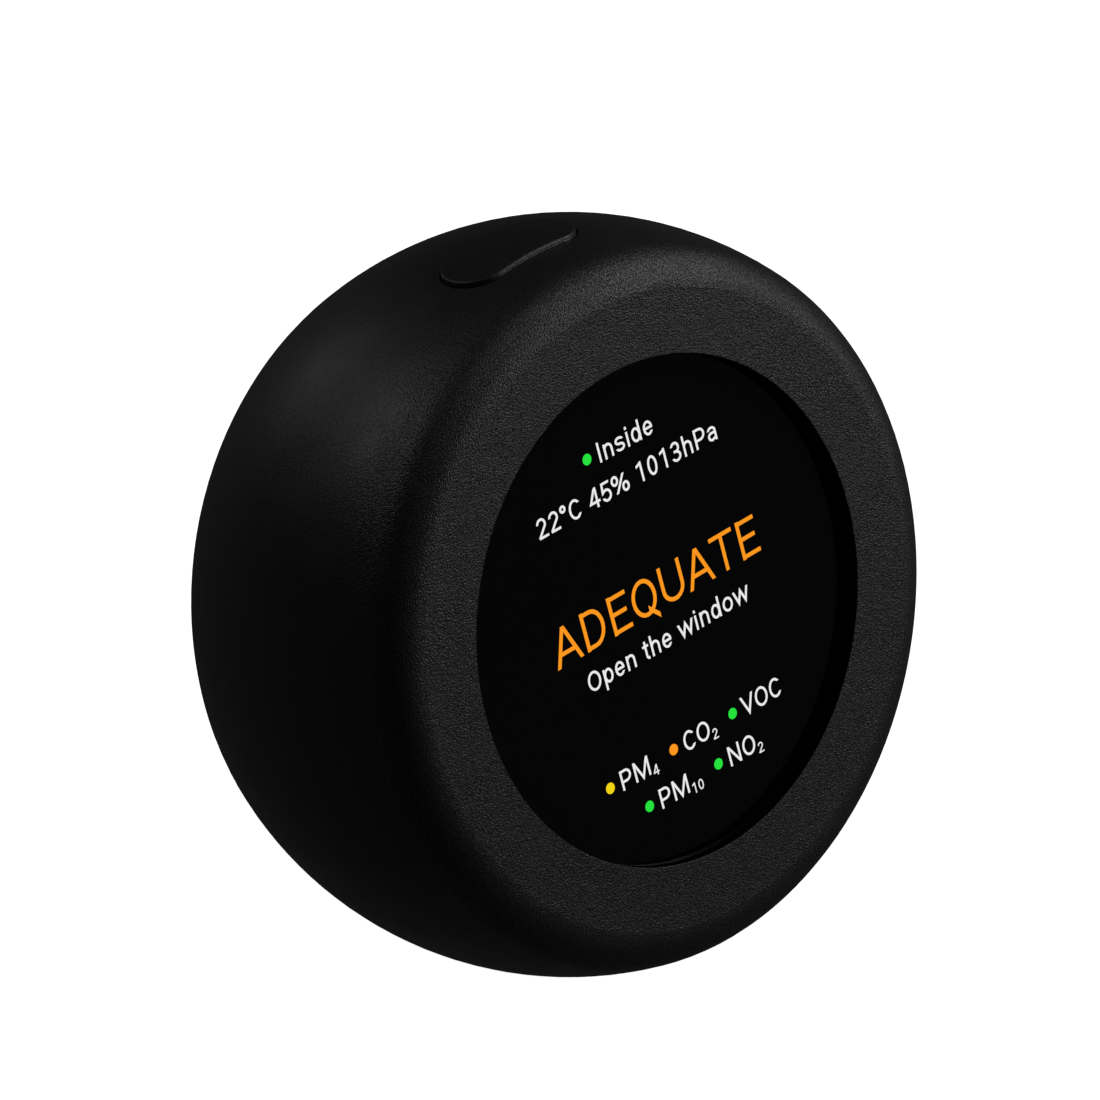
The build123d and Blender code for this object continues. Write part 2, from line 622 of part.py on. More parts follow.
with BuildPart() as display_flex:
    with BuildSketch(SIDE):
        with BuildLine():
            FilletPolyline(
                (FLEX_START, -LCD_TAB_REACH),
                (FLEX_START, FLEX_TURN_Y),
                (FLEX_RETURN, FLEX_TURN_Y),
                (FLEX_RETURN, FLEX_END_Y),
                radius=[FLEX_FIRST_RADIUS, FLEX_TURN_RADIUS],
            )
        trace(line_width=FLEX_THICKNESS)
    extrude(amount=FLEX_WIDTH / 2, both=True)
finish(display_flex, "display_flex")

# ---------------------------------------------------------------- main board

with BuildPart() as main_board:
    with BuildSketch(at_depth(BOARD_FRONT)):
        Circle(BOARD_RADIUS)
        with PolarLocations(STANDOFF_RING, 4, start_angle=45):
            Circle(CLEARANCE_HOLE_RADIUS, mode=Mode.SUBTRACT)
    extrude(amount=-BOARD_THICKNESS)
finish(main_board, "main_board")

board_screw = screw_profile(BOARD_SCREW_LENGTH)
with BuildPart(Plane(origin=spot(0, 0, BOARD_BACK), x_dir=RIGHT, z_dir=OUT * -1)) as board_screws:
    with PolarLocations(STANDOFF_RING, 4, start_angle=45):
        add(board_screw)
finish(board_screws, "board_screws")

with BuildPart() as radio_module:
    with BuildSketch(at_depth(BOARD_BACK)):
        with Locations((RADIO_X, RADIO_BOARD_Y)):
            Rectangle(RADIO_BOARD_WIDTH, RADIO_BOARD_HEIGHT)
    extrude(amount=-RADIO_BOARD_THICKNESS)
    with BuildSketch(at_depth(BOARD_BACK + RADIO_BOARD_THICKNESS)):
        with Locations((RADIO_X, RADIO_CAN_Y)):
            RectangleRounded(RADIO_CAN_WIDTH, RADIO_CAN_HEIGHT, CAN_CORNER)
    extrude(amount=-RADIO_CAN_THICKNESS)
finish(radio_module, "radio_module")

with BuildPart() as board_chips:
    for x, y, width, height, thickness in CHIPS:
        with BuildSketch(at_depth(BOARD_BACK)):
            with Locations((x, y)):
                Rectangle(width, height)
        extrude(amount=-thickness)
finish(board_chips, "board_chips")

with BuildPart() as pressure_sensor:
    with BuildSketch(at_depth(BOARD_BACK)):
        with Locations(PRESSURE_SENSOR_CENTRE):
            Rectangle(PRESSURE_SENSOR_SIZE, PRESSURE_SENSOR_SIZE)
    extrude(amount=-PRESSURE_SENSOR_HEIGHT)
    with BuildSketch(at_depth(BOARD_BACK + PRESSURE_SENSOR_HEIGHT)):
        with Locations(PRESSURE_SENSOR_CENTRE):
            Circle(PRESSURE_PORT_RADIUS)
    extrude(amount=PRESSURE_PORT_RADIUS, mode=Mode.SUBTRACT)
finish(pressure_sensor, "pressure_sensor")

with BuildPart() as flex_connector:
    with BuildSketch(at_depth(BOARD_BACK)):
        with Locations((0, FLEX_END_Y)):
            Rectangle(FLEX_CONNECTOR_WIDTH, FLEX_CONNECTOR_LENGTH, align=(Align.CENTER, Align.MIN))
    extrude(amount=-FLEX_CONNECTOR_HEIGHT)
finish(flex_connector, "flex_connector")

with BuildPart() as lead_headers:
    with BuildSketch(at_depth(BOARD_BACK)):
        with Locations(SENSOR_HEADER, POWER_HEADER):
            Rectangle(HEADER_LENGTH, HEADER_WIDTH)
    extrude(amount=-HEADER_HEIGHT)
finish(lead_headers, "lead_headers")

# ---------------------------------------------------------------- button

with BuildPart() as button_cap:
    with BuildSketch(at_height(PLUNGER_TOP)):
        with Locations((0, BUTTON_DEPTH)):
            SlotOverall(BUTTON_LENGTH + 2 * BUTTON_FLANGE, BUTTON_WIDTH + 2 * BUTTON_FLANGE)
    extrude(amount=SPHERE_RADIUS)
    with Locations(SPHERE_CENTRE):
        Sphere(FLANGE_TOP, mode=Mode.INTERSECT)
    with BuildSketch(at_height(PLUNGER_TOP)):
        with Locations((0, BUTTON_DEPTH)):
            SlotOverall(BUTTON_LENGTH, BUTTON_WIDTH)
    extrude(amount=SPHERE_RADIUS)
    with Locations(SPHERE_CENTRE):
        Sphere(SPHERE_RADIUS + BUTTON_PROUD, mode=Mode.INTERSECT)
        Sphere(FLANGE_FOOT, mode=Mode.SUBTRACT)
    with BuildSketch(at_height(PLUNGER_TOP)):
        with Locations((0, BUTTON_DEPTH)):
            Circle(BUTTON_STEM_RADIUS)
    extrude(amount=FLANGE_FOOT - PLUNGER_TOP)
    cap_top = button_cap.faces().sort_by(Axis(FRONT_CENTRE, UP))[-1]
    fillet(cap_top.edges(), BUTTON_EDGE)
finish(button_cap, "button_cap")

with BuildPart() as switch_body:
    with BuildSketch(at_depth(BUTTON_DEPTH - SWITCH_HEIGHT / 2)):
        with Locations((0, SWITCH_TOP)):
            Rectangle(SWITCH_WIDTH, SWITCH_LENGTH, align=(Align.CENTER, Align.MAX))
    extrude(amount=-SWITCH_HEIGHT)
    with BuildSketch(at_height(PLUNGER_BORE_FOOT)):
        with Locations((0, BUTTON_DEPTH)):
            Circle(PLUNGER_BORE_RADIUS)
    extrude(amount=SWITCH_LENGTH, mode=Mode.SUBTRACT)
finish(switch_body, "switch_body")

with BuildPart() as switch_plunger:
    with BuildSketch(at_height(PLUNGER_FOOT)):
        with Locations((0, BUTTON_DEPTH)):
            Circle(PLUNGER_RADIUS)
    extrude(amount=PLUNGER_TOP - PLUNGER_FOOT)
finish(switch_plunger, "switch_plunger")

# ---------------------------------------------------------------- sensor module

with BuildPart() as sensor_case:
    with BuildSketch(at_depth(MODULE_FRONT)):
        RectangleRounded(MODULE_LENGTH, MODULE_WIDTH, MODULE_CORNER)
    extrude(amount=-(LID_FRONT - MODULE_FRONT))
    with BuildSketch(at_depth(MODULE_FRONT + MODULE_WALL)):
        Rectangle(MODULE_LENGTH - 2 * MODULE_WALL, MODULE_WIDTH - 2 * MODULE_WALL)
    extrude(amount=-MODULE_BACK, mode=Mode.SUBTRACT)
finish(sensor_case, "sensor_case")

with BuildPart() as sensor_lid:
    with BuildSketch(at_depth(LID_FRONT)):
        RectangleRounded(MODULE_LENGTH, MODULE_WIDTH, MODULE_CORNER)
        with Locations((FAN_X, 0)):
            Circle(GRILLE_HOLE_RADIUS, mode=Mode.SUBTRACT)
            for ring_radius, hole_count in GRILLE_RINGS:
                with PolarLocations(ring_radius, hole_count):
                    Circle(GRILLE_HOLE_RADIUS, mode=Mode.SUBTRACT)
        with Locations((INLET_X, 0)):
            with GridLocations(INLET_PITCH, INLET_PITCH, 1, INLET_SLOTS):
                SlotOverall(INLET_LENGTH, GRILLE_HOLE_RADIUS, mode=Mode.SUBTRACT)
    extrude(amount=-MODULE_WALL)
finish(sensor_lid, "sensor_lid")

with BuildPart() as sensor_board:
    with BuildSketch(at_depth(SENSOR_BOARD_FRONT)):
        Rectangle(SENSOR_BOARD_LENGTH, SENSOR_BOARD_WIDTH)
    extrude(amount=-SENSOR_BOARD_THICKNESS)
finish(sensor_board, "sensor_board")

with BuildPart() as co2_sensor:
    with BuildSketch(at_depth(SENSOR_BOARD_BACK)):
        with Locations(CO2_SENSOR_CENTRE):
            RectangleRounded(CO2_SENSOR_SIZE, CO2_SENSOR_SIZE, CAN_CORNER)
    extrude(amount=-CO2_SENSOR_HEIGHT)
    with BuildSketch(at_depth(SENSOR_BOARD_BACK + CO2_SENSOR_HEIGHT)):
        with Locations(CO2_SENSOR_CENTRE):
            Circle(CO2_PORT_RADIUS)
    extrude(amount=CO2_PORT_DEPTH, mode=Mode.SUBTRACT)
finish(co2_sensor, "co2_sensor")

with BuildPart() as gas_sensors:
    for x, y, width, height, thickness in GAS_CHIPS:
        with BuildSketch(at_depth(SENSOR_BOARD_BACK)):
            with Locations((x, y)):
                Rectangle(width, height)
        extrude(amount=-thickness)
finish(gas_sensors, "gas_sensors")

# The plane across the left end of the optics block, which the laser shines through.
LASER_SEAT = Plane(
    origin=spot(OPTICS_X - OPTICS_LENGTH / 2, OPTICS_Y, SENSOR_BOARD_BACK + OPTICS_HEIGHT / 2),
    x_dir=UP,
    z_dir=RIGHT,
)
with BuildPart() as optics_block:
    with BuildSketch(at_depth(SENSOR_BOARD_BACK)):
        with Locations((OPTICS_X, OPTICS_Y)):
            Rectangle(OPTICS_LENGTH, OPTICS_WIDTH)
            Circle(AIR_BORE_RADIUS, mode=Mode.SUBTRACT)
    extrude(amount=-OPTICS_HEIGHT)
    with BuildSketch(LASER_SEAT):
        Circle(BEAM_RADIUS)
    extrude(amount=OPTICS_LENGTH, mode=Mode.SUBTRACT)
finish(optics_block, "optics_block")

with BuildPart() as laser_diode:
    with BuildSketch(LASER_SEAT):
        Circle(LASER_FLANGE_RADIUS)
    extrude(amount=-LASER_FLANGE_THICKNESS)
    with BuildSketch(LASER_SEAT):
        Circle(LASER_STEM_RADIUS)
    extrude(amount=-LASER_LENGTH)
finish(laser_diode, "laser_diode")

# ---------------------------------------------------------------- fan

with BuildPart() as fan_frame:
    with BuildSketch(at_depth(FAN_FRONT)):
        with Locations((FAN_X, 0)):
            RectangleRounded(FAN_SIZE, FAN_SIZE, FAN_CORNER)
            Circle(FAN_BORE_RADIUS, mode=Mode.SUBTRACT)
    extrude(amount=-(FAN_BACK - FAN_FRONT))
    with BuildSketch(at_depth(FAN_FRONT)):
        with Locations((FAN_X, 0)):
            Circle(FAN_HUB_RADIUS)
            with PolarLocations(FAN_BORE_RADIUS / 2, SPOKE_COUNT):
                Rectangle(FAN_BORE_RADIUS + SPOKE_WIDTH, SPOKE_WIDTH)
    extrude(amount=-SPOKE_THICKNESS)
finish(fan_frame, "fan_frame")

with BuildPart() as fan_bearing:
    with BuildSketch(at_depth(BEARING_FRONT)):
        with Locations((FAN_X, 0)):
            Circle(BEARING_RADIUS)
            Circle(BEARING_BORE_RADIUS, mode=Mode.SUBTRACT)
    extrude(amount=-BEARING_LENGTH)
finish(fan_bearing, "fan_bearing")

with BuildPart() as fan_stator:
    with BuildSketch(at_depth(STATOR_FRONT)):
        with Locations((FAN_X, 0)):
            Circle(STATOR_RADIUS)
            Circle(BEARING_RADIUS, mode=Mode.SUBTRACT)
    extrude(amount=-STATOR_LENGTH)
finish(fan_stator, "fan_stator")

# One blade about the Z axis: a thin plate that twists from the hub to the tip.
with BuildPart() as blade:
    with BuildSketch(Plane.YZ.offset(BLADE_ROOT)):
        Rectangle(BLADE_CHORD, BLADE_THICKNESS, rotation=BLADE_ROOT_PITCH)
    with BuildSketch(Plane.YZ.offset(BLADE_REACH)):
        Rectangle(BLADE_CHORD, BLADE_THICKNESS, rotation=BLADE_TIP_PITCH)
    loft()

with BuildPart(Plane(origin=spot(FAN_X, 0, BLADE_MIDDLE), x_dir=RIGHT, z_dir=OUT)) as fan_rotor:
    with BuildSketch(FAN_SECTION):
        with BuildLine():
            Polyline(
                (SHAFT_RADIUS, -FAN_HUB_BACK),
                (FAN_HUB_RADIUS, -FAN_HUB_BACK),
                (FAN_HUB_RADIUS, -FAN_HUB_FRONT),
                (FAN_HUB_RADIUS - FAN_HUB_WALL, -FAN_HUB_FRONT),
                (FAN_HUB_RADIUS - FAN_HUB_WALL, FAN_HUB_CAP - FAN_HUB_BACK),
                (SHAFT_RADIUS, FAN_HUB_CAP - FAN_HUB_BACK),
                close=True,
            )
        make_face()
    revolve(axis=FAN_AXIS)
    with PolarLocations(0, BLADE_COUNT):
        add(blade.part)
finish(fan_rotor, "fan_rotor")

with BuildPart() as fan_magnet:
    with BuildSketch(at_depth(STATOR_FRONT)):
        with Locations((FAN_X, 0)):
            Circle(MAGNET_OUTER_RADIUS)
            Circle(MAGNET_OUTER_RADIUS - MAGNET_THICKNESS, mode=Mode.SUBTRACT)
    extrude(amount=-STATOR_LENGTH)
finish(fan_magnet, "fan_magnet")

with BuildPart() as fan_shaft:
    with BuildSketch(at_depth(STATOR_FRONT)):
        with Locations((FAN_X, 0)):
            Circle(SHAFT_RADIUS)
    extrude(amount=-(FAN_HUB_BACK - STATOR_FRONT))
finish(fan_shaft, "fan_shaft")

# ---------------------------------------------------------------- air seal, cradle

with BuildPart() as air_seal:
    with BuildSketch(at_depth(MODULE_BACK)):
        Rectangle(MODULE_LENGTH - 2 * SEAL_MARGIN, MODULE_WIDTH - 2 * SEAL_MARGIN)
        with Locations((FAN_X, 0)):
            Circle(FAN_BORE_RADIUS, mode=Mode.SUBTRACT)
        with Locations((INLET_X, 0)):
            Rectangle(INLET_LENGTH + SEAL_MARGIN, INLET_SLOTS * INLET_PITCH, mode=Mode.SUBTRACT)
    extrude(amount=-(COVER_INSIDE - MODULE_BACK))
finish(air_seal, "air_seal")

with BuildPart() as sensor_cradle:
    with BuildSketch(at_depth(CRADLE_FRONT)):
        Rectangle(CRADLE_LENGTH, 2 * CRADLE_WALL_OUTER)
        Rectangle(CRADLE_WINDOW_LENGTH, CRADLE_WINDOW_WIDTH, mode=Mode.SUBTRACT)
    extrude(amount=-CRADLE_FLOOR)
    with BuildSketch(at_depth(CRADLE_FRONT)):
        Rectangle(CRADLE_WALL_LENGTH, 2 * CRADLE_WALL_OUTER)
        Rectangle(CRADLE_WALL_LENGTH, 2 * CRADLE_WALL_INNER, mode=Mode.SUBTRACT)
    extrude(amount=-(COVER_SEAT - CRADLE_FRONT))
    # Ears at the cover end, one at each corner.
    with BuildSketch(at_depth(COVER_SEAT - EAR_THICKNESS)):
        with GridLocations(2 * CRADLE_SCREW_X, EAR_REACH + CRADLE_WALL_INNER, 2, 2):
            Rectangle(EAR_WIDTH, EAR_REACH - CRADLE_WALL_INNER)
        with GridLocations(2 * CRADLE_SCREW_X, 2 * CRADLE_SCREW_Y, 2, 2):
            Circle(CLEARANCE_HOLE_RADIUS, mode=Mode.SUBTRACT)
    extrude(amount=-EAR_THICKNESS)
    # Posts that carry the USB board.
    with BuildSketch(at_height(USB_BOARD_TOP)):
        with Locations((-USB_SCREW_X, USB_SCREW_DEPTH), (USB_SCREW_X, USB_SCREW_DEPTH)):
            Circle(STANDOFF_RADIUS)
    extrude(amount=-CRADLE_WALL_OUTER - USB_BOARD_TOP + CRADLE_WALL / 2)
    with BuildSketch(at_height(USB_BOARD_TOP)):
        with Locations((-USB_SCREW_X, USB_SCREW_DEPTH), (USB_SCREW_X, USB_SCREW_DEPTH)):
            Circle(SCREW_HOLE_RADIUS)
    extrude(amount=USB_SCREW_LENGTH, mode=Mode.SUBTRACT)
finish(sensor_cradle, "sensor_cradle")

cradle_screw = screw_profile(CRADLE_SCREW_LENGTH)
with BuildPart(at_depth(COVER_SEAT - EAR_THICKNESS)) as cradle_screws:
    with GridLocations(2 * CRADLE_SCREW_X, 2 * CRADLE_SCREW_Y, 2, 2):
        add(cradle_screw)
finish(cradle_screws, "cradle_screws")

# ---------------------------------------------------------------- USB-C inlet

with BuildPart() as usb_board:
    with BuildSketch(at_height(USB_BOARD_TOP)):
        with Locations((0, USB_BOARD_FRONT)):
            Rectangle(USB_BOARD_WIDTH, USB_BOARD_BACK - USB_BOARD_FRONT, align=(Align.CENTER, Align.MIN))
        with Locations((-USB_SCREW_X, USB_SCREW_DEPTH), (USB_SCREW_X, USB_SCREW_DEPTH)):
            Circle(CLEARANCE_HOLE_RADIUS, mode=Mode.SUBTRACT)
    extrude(amount=-USB_BOARD_THICKNESS)
finish(usb_board, "usb_board")

with BuildPart() as usb_shell:
    with BuildSketch(at_depth(USB_FRONT)):
        with Locations((0, USB_CENTRE_Y)):
            SlotOverall(USB_WIDTH, USB_HEIGHT)
            SlotOverall(USB_WIDTH - 2 * USB_SHEET, USB_HEIGHT - 2 * USB_SHEET, mode=Mode.SUBTRACT)
    extrude(amount=-(USB_MOUTH - USB_FRONT))
finish(usb_shell, "usb_shell")

with BuildPart() as usb_tongue:
    with BuildSketch(at_depth(USB_FRONT)):
        with Locations((0, USB_CENTRE_Y)):
            SlotOverall(USB_WIDTH - 2 * USB_SHEET, USB_HEIGHT - 2 * USB_SHEET)
    extrude(amount=-(USB_BLOCK_BACK - USB_FRONT))
    with BuildSketch(at_depth(USB_BLOCK_BACK)):
        with Locations((0, USB_CENTRE_Y)):
            Rectangle(USB_TONGUE_WIDTH, USB_TONGUE_THICKNESS)
    extrude(amount=-(USB_TONGUE_BACK - USB_BLOCK_BACK))
finish(usb_tongue, "usb_tongue")

usb_screw = screw_profile(USB_SCREW_LENGTH)
USB_SCREW_SEAT = Plane(
    origin=spot(0, USB_BOARD_TOP - USB_BOARD_THICKNESS, USB_SCREW_DEPTH), x_dir=RIGHT, z_dir=UP * -1
)
with BuildPart(USB_SCREW_SEAT) as usb_screws:
    with Locations((-USB_SCREW_X, 0), (USB_SCREW_X, 0)):
        add(usb_screw)
finish(usb_screws, "usb_screws")

with BuildPart() as usb_header:
    with BuildSketch(at_height(USB_BOARD_TOP)):
        with Locations((0, USB_BOARD_FRONT)):
            Rectangle(HEADER_LENGTH, HEADER_WIDTH, align=(Align.CENTER, Align.MIN))
    extrude(amount=USB_HEADER_HEIGHT)
finish(usb_header, "usb_header")

# ---------------------------------------------------------------- leads

SENSOR_LEAD_ROUTE = [
    spot(*SENSOR_HEADER, LEAD_START),
    spot(*SENSOR_HEADER, 17.5),
    spot(-18.0, 21.5, 21.0),
    spot(-29.0, 17.0, 22.0),
    spot(-33.5, 8.0, 21.5),
    spot(-33.2, 0.5, 19.0),
    spot(-MODULE_LENGTH / 2, 0.5, 19.0),
]
with BuildPart() as sensor_lead:
    add(lead_along(SENSOR_LEAD_ROUTE))
finish(sensor_lead, "sensor_lead")

POWER_LEAD_ROUTE = [
    spot(*POWER_HEADER, LEAD_START),
    spot(*POWER_HEADER, 16.6),
    spot(5.0, -23.4, 19.2),
    spot(0.0, -23.4, 20.0),
    spot(0.0, -23.4, USB_BOARD_FRONT),
]
with BuildPart() as power_lead:
    add(lead_along(POWER_LEAD_ROUTE))
finish(power_lead, "power_lead")
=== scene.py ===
from math import atan, ceil, cos, hypot, pi, radians, sin

import bmesh
import bpy
from mathutils import Matrix, Vector


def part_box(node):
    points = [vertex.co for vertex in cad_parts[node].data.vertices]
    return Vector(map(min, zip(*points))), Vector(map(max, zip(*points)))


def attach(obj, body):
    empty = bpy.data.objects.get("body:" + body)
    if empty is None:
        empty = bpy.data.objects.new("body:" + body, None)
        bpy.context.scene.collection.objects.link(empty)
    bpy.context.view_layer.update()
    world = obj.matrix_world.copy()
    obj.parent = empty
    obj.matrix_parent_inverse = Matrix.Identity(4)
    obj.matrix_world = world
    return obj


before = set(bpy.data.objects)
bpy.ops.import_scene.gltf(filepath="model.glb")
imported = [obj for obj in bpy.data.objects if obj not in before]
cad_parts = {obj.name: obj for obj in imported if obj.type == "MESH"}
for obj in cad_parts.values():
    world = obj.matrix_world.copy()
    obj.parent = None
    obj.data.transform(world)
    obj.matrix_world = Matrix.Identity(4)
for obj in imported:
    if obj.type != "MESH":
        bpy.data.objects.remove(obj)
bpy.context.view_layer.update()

# A round desk air quality monitor, in metres: +Z up, the display faces -Y and leans back.

MM = 0.001
LEAN = radians(20)
GLASS_THICKNESS = 1.0 * MM
GLASS_RECESS = 1.6 * MM
OPENING_RADIUS = 26.6 * MM

RIGHT = Vector((1, 0, 0))
OUT = Vector((0, -cos(LEAN), sin(LEAN)))  # out of the display
UP = Vector((0, sin(LEAN), cos(LEAN)))  # up the display


def middle(node):
    """The centre of a CAD node's box at rest."""
    low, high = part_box(node)
    return (Vector(low) + Vector(high)) / 2


GLASS_FACE = middle("cover_glass") + OUT * GLASS_THICKNESS / 2
FRONT_CENTRE = GLASS_FACE + OUT * GLASS_RECESS
SCENE = bpy.context.scene.collection


# ---------------------------------------------------------------- camera

CAMERA_AZIMUTH = radians(-45)
CAMERA_ELEVATION = atan(0.5**0.5)  # looks down as an isometric view does
CAMERA_DISTANCE = 0.6715
CAMERA_RIGHT_OF_OPENING = -12.55 * MM
CAMERA_ABOVE_OPENING = 6.3 * MM
CAMERA_LENS = 213.7
CAMERA_SENSOR = 36.0
CAMERA_NEAR = 0.01
CAMERA_FAR = 50.0


def add_camera():
    """A long lens above and to the left of the display."""
    backward = Vector(
        (
            sin(CAMERA_AZIMUTH) * cos(CAMERA_ELEVATION),
            -cos(CAMERA_AZIMUTH) * cos(CAMERA_ELEVATION),
            sin(CAMERA_ELEVATION),
        )
    )
    right = Vector((cos(CAMERA_AZIMUTH), sin(CAMERA_AZIMUTH), 0))
    above = backward.cross(right)
    data = bpy.data.cameras.new("camera")
    data.lens = CAMERA_LENS
    data.sensor_width = CAMERA_SENSOR
    data.clip_start = CAMERA_NEAR
    data.clip_end = CAMERA_FAR
    camera = bpy.data.objects.new("camera", data)
    place = FRONT_CENTRE + right * CAMERA_RIGHT_OF_OPENING + above * CAMERA_ABOVE_OPENING
    place += backward * CAMERA_DISTANCE
    turn = Matrix((right, above, backward)).transposed().to_4x4()
    camera.matrix_world = Matrix.Translation(place) @ turn
    SCENE.objects.link(camera)
    bpy.context.scene.camera = camera


# ---------------------------------------------------------------- light and floor

LIGHT_DISTANCE = 0.9
LIGHT_SIZE = 0.25
LIGHTS = (  # name, azimuth, elevation, watts
    ("key_light", 50, 15, 1.4),
    ("side_light", 75, 35, 1.1),
    ("top_light", 45, 70, 0.4),
    ("back_light", -150, 45, 0.6),
    ("rim_light", 180, 15, 0.15),
)
FLOOR_HALF = 4.0
FLOOR_COLOUR = (0.9, 0.9, 0.9, 1)
FLOOR_GLOW = 0.03  # the faint light that the pale floor sends up


def add_light(name, azimuth, elevation, watts):
    """A square soft light aimed at the body from an azimuth and an elevation."""
    a = radians(azimuth)
    e = radians(elevation)
    away = Vector((sin(a) * cos(e), -cos(a) * cos(e), sin(e)))
    data = bpy.data.lights.new(name, "AREA")
    data.shape = "SQUARE"
    data.size = LIGHT_SIZE
    data.energy = watts
    light = bpy.data.objects.new(name, data)
    light.rotation_euler = away.to_track_quat("Z", "Y").to_euler()
    light.location = FRONT_CENTRE + away * LIGHT_DISTANCE
    SCENE.objects.link(light)


def add_stage():
    """A plain pale floor and a white surround that only the camera sees."""
    mesh = bpy.data.meshes.new("floor")
    corners = [(x * FLOOR_HALF, y * FLOOR_HALF, 0) for x, y in ((-1, -1), (1, -1), (1, 1), (-1, 1))]
    mesh.from_pydata(corners, [], [range(len(corners))])
    floor = bpy.data.objects.new("floor", mesh)
    SCENE.objects.link(floor)
    material = bpy.data.materials.new("pale_floor")
    material.use_nodes = True
    tree = material.node_tree
    tree.nodes.clear()
    output = tree.nodes.new("ShaderNodeOutputMaterial")
    seen = tree.nodes.new("ShaderNodeBsdfDiffuse")
    seen.inputs["Color"].default_value = FLOOR_COLOUR
    glow = tree.nodes.new("ShaderNodeEmission")
    glow.inputs["Strength"].default_value = 1.0
    both = tree.nodes.new("ShaderNodeAddShader")
    dim = tree.nodes.new("ShaderNodeEmission")
    dim.inputs["Strength"].default_value = FLOOR_GLOW
    path = tree.nodes.new("ShaderNodeLightPath")
    mix = tree.nodes.new("ShaderNodeMixShader")
    tree.links.new(seen.outputs[0], both.inputs[0])
    tree.links.new(glow.outputs[0], both.inputs[1])
    tree.links.new(path.outputs["Is Camera Ray"], mix.inputs[0])
    tree.links.new(dim.outputs[0], mix.inputs[1])
    tree.links.new(both.outputs[0], mix.inputs[2])
    tree.links.new(mix.outputs[0], output.inputs[0])
    mesh.materials.append(material)

    world = bpy.data.worlds.new("surround")
    world.use_nodes = True
    nodes = world.node_tree.nodes
    links = world.node_tree.links
    nodes.clear()
    out = nodes.new("ShaderNodeOutputWorld")
    pale = nodes.new("ShaderNodeBackground")
    pale.inputs["Color"].default_value = (1, 1, 1, 1)
    ray = nodes.new("ShaderNodeLightPath")
    links.new(ray.outputs["Is Camera Ray"], pale.inputs["Strength"])
    links.new(pale.outputs[0], out.inputs[0])
    bpy.context.scene.world = world
    bpy.context.scene.view_settings.view_transform = "Standard"


# ---------------------------------------------------------------- material kit


def feed(tree, socket, value):
    """Links a socket to another, or sets it to a constant."""
    if isinstance(value, bpy.types.NodeSocket):
        tree.links.new(value, socket)
    else:
        socket.default_value = value


def new_material(name):
    """A material with its Principled shader and a coordinate source."""
    material = bpy.data.materials.new(name)
    material.use_nodes = True
    tree = material.node_tree
    shader = tree.nodes["Principled BSDF"]
    coordinates = tree.nodes.new("ShaderNodeTexCoord").outputs["Object"]
    return material, tree, shader, coordinates


def noise(tree, coordinates, scale, detail=3.0):
    """Fractal noise at a scale given in cycles a metre."""
    node = tree.nodes.new("ShaderNodeTexNoise")
    node.inputs["Scale"].default_value = scale
    node.inputs["Detail"].default_value = detail
    tree.links.new(coordinates, node.inputs["Vector"])
    return node.outputs["Fac"]


def stretched(tree, coordinates, stretch):
    """Coordinates scaled by an amount for each axis, for marks that run one way."""
    node = tree.nodes.new("ShaderNodeMapping")
    node.inputs["Scale"].default_value = stretch
    tree.links.new(coordinates, node.inputs["Vector"])
    return node.outputs["Vector"]


def spread(tree, value, low, high, start=0.3, end=0.7):
    """Maps a value's middle range to low and high."""
    node = tree.nodes.new("ShaderNodeMapRange")
    node.inputs["From Min"].default_value = start
    node.inputs["From Max"].default_value = end
    node.inputs["To Min"].default_value = low
    node.inputs["To Max"].default_value = high
    tree.links.new(value, node.inputs["Value"])
    return node.outputs["Result"]


def tint(tree, value, dark, light):
    """A colour that varies between two with a value; the light one may come from a node."""
    node = tree.nodes.new("ShaderNodeMix")
    node.data_type = "RGBA"
    node.inputs[6].default_value = (*dark, 1)
    feed(tree, node.inputs[7], light if isinstance(light, bpy.types.NodeSocket) else (*light, 1))
    tree.links.new(value, node.inputs[0])
    return node.outputs[2]


def maths(tree, operation, *values):
    """The result of a maths node on numbers and sockets."""
    node = tree.nodes.new("ShaderNodeMath")
    node.operation = operation
    for socket, value in zip(node.inputs, values):
        feed(tree, socket, value)
    return node.outputs["Value"]


def vector_maths(tree, operation, output, *values):
    """One output of a vector maths node on vectors and sockets."""
    node = tree.nodes.new("ShaderNodeVectorMath")
    node.operation = operation
    for socket, value in zip(node.inputs, values):
        feed(tree, socket, value)
    return node.outputs[output]


def bump(tree, shader, height, distance):
    """Drives the shader's normal with a height field that is distance metres deep."""
    node = tree.nodes.new("ShaderNodeBump")
    node.inputs["Distance"].default_value = distance
    tree.links.new(height, node.inputs["Height"])
    tree.links.new(node.outputs["Normal"], shader.inputs["Normal"])
    return node


def surface(name, dark, light, roughness, grain, depth, metallic=0.0, stretch=(1, 1, 1)):
    """A surface with colour patches, uneven roughness and a fine grain; grain and depth in metres."""
    material, tree, shader, coordinates = new_material(name)
    shader.inputs["Metallic"].default_value = metallic
    along = stretched(tree, coordinates, stretch)
    patches = noise(tree, coordinates, PATCH_SCALE)
    marks = noise(tree, along, 1.0 / grain)
    smears = noise(tree, along, SMEAR_SCALE, 5.0)
    tree.links.new(tint(tree, patches, dark, light), shader.inputs["Base Color"])
    rough = spread(tree, smears, roughness * 0.8, roughness * 1.2)
    tree.links.new(rough, shader.inputs["Roughness"])
    bump(tree, shader, marks, depth)
    return material


# ---------------------------------------------------------------- materials

